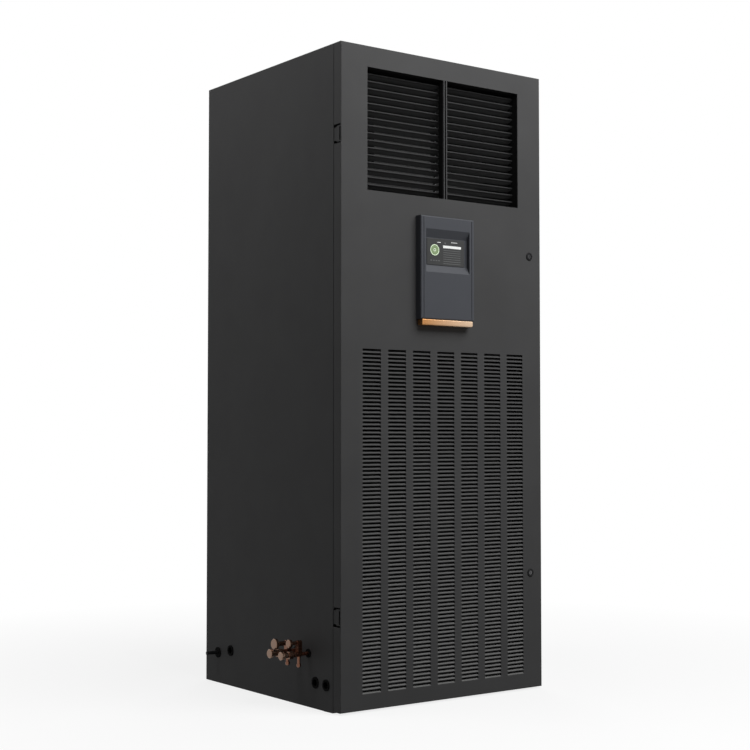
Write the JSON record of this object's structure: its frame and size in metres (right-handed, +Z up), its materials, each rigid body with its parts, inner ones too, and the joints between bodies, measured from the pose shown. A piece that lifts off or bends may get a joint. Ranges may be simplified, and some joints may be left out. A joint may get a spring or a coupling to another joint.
{
  "type": "precision air conditioner",
  "caption": "Free-standing room air conditioner cabinet with a hinged louvred door, ganged outlet blades, a display, side stop valves, and a blower, coil and compressor inside.",
  "frame": {"origin": "on the floor at the centre of the cabinet's footprint, under the base's cross member", "axes": "+Z up; the door faces -Y; +X is to the right of someone in front of the door"},
  "size_m": [0.79, 0.713, 1.75],
  "materials": {
    "grey_paint": "fine textured dark grey powder coat",
    "outlet_paint": "satin dark grey paint",
    "galvanised_steel": "galvanised sheet",
    "lock_chrome": "satin chrome",
    "display_plastic": "fine satin moulding",
    "screen_glass": "glossy",
    "trim_copper": "glossy copper-coloured",
    "valve_brass": "forged and turned brass",
    "pipe_copper": "drawn copper",
    "black_rubber": "matte",
    "foam": "closed-cell foam",
    "black_plastic": "matte",
    "aluminium_fin": "mill finish",
    "filter_fibre": "pleated charcoal fibre",
    "compressor_black": "gloss black enamel",
    "switchgear_plastic": "matte light grey",
    "handle_red": "glossy red"
  },
  "bodies": {
    "cabinet": {"base_frame": "grey_paint", "front_frame": "grey_paint", "left_panel": "grey_paint", "right_panel": "grey_paint", "rear_panel": "grey_paint", "top_panel": "grey_paint", "side_grommets": "black_rubber", "hinge_blocks": "grey_paint", "fan_bulkhead": "outlet_paint", "blower_housings": "galvanised_steel", "blower_motor": "compressor_black", "filter_frames": "black_plastic", "filter_media": "filter_fibre", "filter_rack": "galvanised_steel", "coil_fins": "aluminium_fin", "coil_end_plates": "galvanised_steel", "coil_bends": "pipe_copper", "drain_pan": "galvanised_steel", "drain_tube": "black_plastic", "compressor": "compressor_black", "compressor_feet": "black_rubber", "suction_line": "pipe_copper", "gas_line": "pipe_copper", "liquid_line": "pipe_copper", "filter_drier": "compressor_black", "gas_valve": "valve_brass", "liquid_valve": "valve_brass", "electrical_box": "galvanised_steel", "switchgear": "switchgear_plastic"},
    "door": {"door_panel": "grey_paint", "door_gasket": "foam", "return_grille": "grey_paint", "grille_louvres": "grey_paint", "hinge_brackets": "grey_paint", "lock_housings": "black_plastic", "outlet_frame": "outlet_paint", "display_housing": "display_plastic", "display_screen": "screen_glass", "display_trim": "trim_copper"},
    "upper_lock": {"upper_lock_cam": "lock_chrome"},
    "lower_lock": {"lower_lock_cam": "lock_chrome"},
    "blower_rotor": {"blower_wheels": "galvanised_steel"},
    "main_switch": {"switch_handle": "handle_red"},
    "blade_01": {"outlet_blade_01": "outlet_paint"},
    "blade_02": {"outlet_blade_02": "outlet_paint"},
    "blade_03": {"outlet_blade_03": "outlet_paint"},
    "blade_04": {"outlet_blade_04": "outlet_paint"},
    "blade_05": {"outlet_blade_05": "outlet_paint"},
    "blade_06": {"outlet_blade_06": "outlet_paint"},
    "blade_07": {"outlet_blade_07": "outlet_paint"},
    "blade_08": {"outlet_blade_08": "outlet_paint"},
    "blade_09": {"outlet_blade_09": "outlet_paint"},
    "blade_10": {"outlet_blade_10": "outlet_paint"},
    "blade_11": {"outlet_blade_11": "outlet_paint"},
    "blade_12": {"outlet_blade_12": "outlet_paint"},
    "blade_13": {"outlet_blade_13": "outlet_paint"},
    "blade_14": {"outlet_blade_14": "outlet_paint"},
    "blade_15": {"outlet_blade_15": "outlet_paint"},
    "blade_16": {"outlet_blade_16": "outlet_paint"},
    "link_bar": {"blade_link": "galvanised_steel"}
  },
  "joints": [
    {"name": "door_swing", "type": "hinge", "parent": "cabinet", "child": "door", "pos_m": [-0.344, -0.324, 0.875], "axis": [0, 0, -1], "range_deg": [0, 110]},
    {"name": "upper_lock_turn", "type": "hinge", "parent": "door", "child": "upper_lock", "pos_m": [0.3075, -0.345, 1.23], "axis": [0, 1, 0], "range_deg": [0, 90]},
    {"name": "lower_lock_turn", "type": "hinge", "parent": "door", "child": "lower_lock", "pos_m": [0.3075, -0.345, 0.329], "axis": [0, 1, 0], "range_deg": [0, 90]},
    {"name": "blower_spin", "type": "hinge", "parent": "cabinet", "child": "blower_rotor", "pos_m": [0, 0.08, 1.45], "axis": [1, 0, 0], "continuous": true},
    {"name": "main_switch_turn", "type": "hinge", "parent": "cabinet", "child": "main_switch", "pos_m": [0.23, -0.259, 1.2449], "axis": [0, 1, 0], "range_deg": [0, 90]},
    {"name": "blade_01_tilt", "type": "hinge", "parent": "door", "child": "blade_01", "pos_m": [0, -0.31, 1.3815], "axis": [1, 0, 0], "range_deg": [-10, 60]},
    {"name": "blade_02_tilt", "type": "hinge", "parent": "door", "child": "blade_02", "pos_m": [0, -0.31, 1.4013], "axis": [1, 0, 0], "range_deg": [-10, 60]},
    {"name": "blade_03_tilt", "type": "hinge", "parent": "door", "child": "blade_03", "pos_m": [0, -0.31, 1.4211], "axis": [1, 0, 0], "range_deg": [-10, 60]},
    {"name": "blade_04_tilt", "type": "hinge", "parent": "door", "child": "blade_04", "pos_m": [0, -0.31, 1.4409], "axis": [1, 0, 0], "range_deg": [-10, 60]},
    {"name": "blade_05_tilt", "type": "hinge", "parent": "door", "child": "blade_05", "pos_m": [0, -0.31, 1.4607], "axis": [1, 0, 0], "range_deg": [-10, 60]},
    {"name": "blade_06_tilt", "type": "hinge", "parent": "door", "child": "blade_06", "pos_m": [0, -0.31, 1.4805], "axis": [1, 0, 0], "range_deg": [-10, 60]},
    {"name": "blade_07_tilt", "type": "hinge", "parent": "door", "child": "blade_07", "pos_m": [0, -0.31, 1.5003], "axis": [1, 0, 0], "range_deg": [-10, 60]},
    {"name": "blade_08_tilt", "type": "hinge", "parent": "door", "child": "blade_08", "pos_m": [0, -0.31, 1.5201], "axis": [1, 0, 0], "range_deg": [-10, 60]},
    {"name": "blade_09_tilt", "type": "hinge", "parent": "door", "child": "blade_09", "pos_m": [0, -0.31, 1.5399], "axis": [1, 0, 0], "range_deg": [-10, 60]},
    {"name": "blade_10_tilt", "type": "hinge", "parent": "door", "child": "blade_10", "pos_m": [0, -0.31, 1.5597], "axis": [1, 0, 0], "range_deg": [-10, 60]},
    {"name": "blade_11_tilt", "type": "hinge", "parent": "door", "child": "blade_11", "pos_m": [0, -0.31, 1.5795], "axis": [1, 0, 0], "range_deg": [-10, 60]},
    {"name": "blade_12_tilt", "type": "hinge", "parent": "door", "child": "blade_12", "pos_m": [0, -0.31, 1.5993], "axis": [1, 0, 0], "range_deg": [-10, 60]},
    {"name": "blade_13_tilt", "type": "hinge", "parent": "door", "child": "blade_13", "pos_m": [0, -0.31, 1.6191], "axis": [1, 0, 0], "range_deg": [-10, 60]},
    {"name": "blade_14_tilt", "type": "hinge", "parent": "door", "child": "blade_14", "pos_m": [0, -0.31, 1.6389], "axis": [1, 0, 0], "range_deg": [-10, 60]},
    {"name": "blade_15_tilt", "type": "hinge", "parent": "door", "child": "blade_15", "pos_m": [0, -0.31, 1.6587], "axis": [1, 0, 0], "range_deg": [-10, 60]},
    {"name": "blade_16_tilt", "type": "hinge", "parent": "door", "child": "blade_16", "pos_m": [0, -0.31, 1.6785], "axis": [1, 0, 0], "range_deg": [-10, 60]},
    {"name": "link_bar_swing", "type": "hinge", "parent": "blade_01", "child": "link_bar", "pos_m": [0.0033, -0.29187, 1.37305], "axis": [1, 0, 0], "range_deg": [-60, 10]}
  ],
  "couplings": [
    {"joint": "blade_02_tilt", "follows": "blade_01_tilt", "ratio": 1},
    {"joint": "blade_03_tilt", "follows": "blade_01_tilt", "ratio": 1},
    {"joint": "blade_04_tilt", "follows": "blade_01_tilt", "ratio": 1},
    {"joint": "blade_05_tilt", "follows": "blade_01_tilt", "ratio": 1},
    {"joint": "blade_06_tilt", "follows": "blade_01_tilt", "ratio": 1},
    {"joint": "blade_07_tilt", "follows": "blade_01_tilt", "ratio": 1},
    {"joint": "blade_08_tilt", "follows": "blade_01_tilt", "ratio": 1},
    {"joint": "blade_09_tilt", "follows": "blade_01_tilt", "ratio": 1},
    {"joint": "blade_10_tilt", "follows": "blade_01_tilt", "ratio": 1},
    {"joint": "blade_11_tilt", "follows": "blade_01_tilt", "ratio": 1},
    {"joint": "blade_12_tilt", "follows": "blade_01_tilt", "ratio": 1},
    {"joint": "blade_13_tilt", "follows": "blade_01_tilt", "ratio": 1},
    {"joint": "blade_14_tilt", "follows": "blade_01_tilt", "ratio": 1},
    {"joint": "blade_15_tilt", "follows": "blade_01_tilt", "ratio": 1},
    {"joint": "blade_16_tilt", "follows": "blade_01_tilt", "ratio": 1},
    {"joint": "link_bar_swing", "follows": "blade_01_tilt", "ratio": -1}
  ]
}
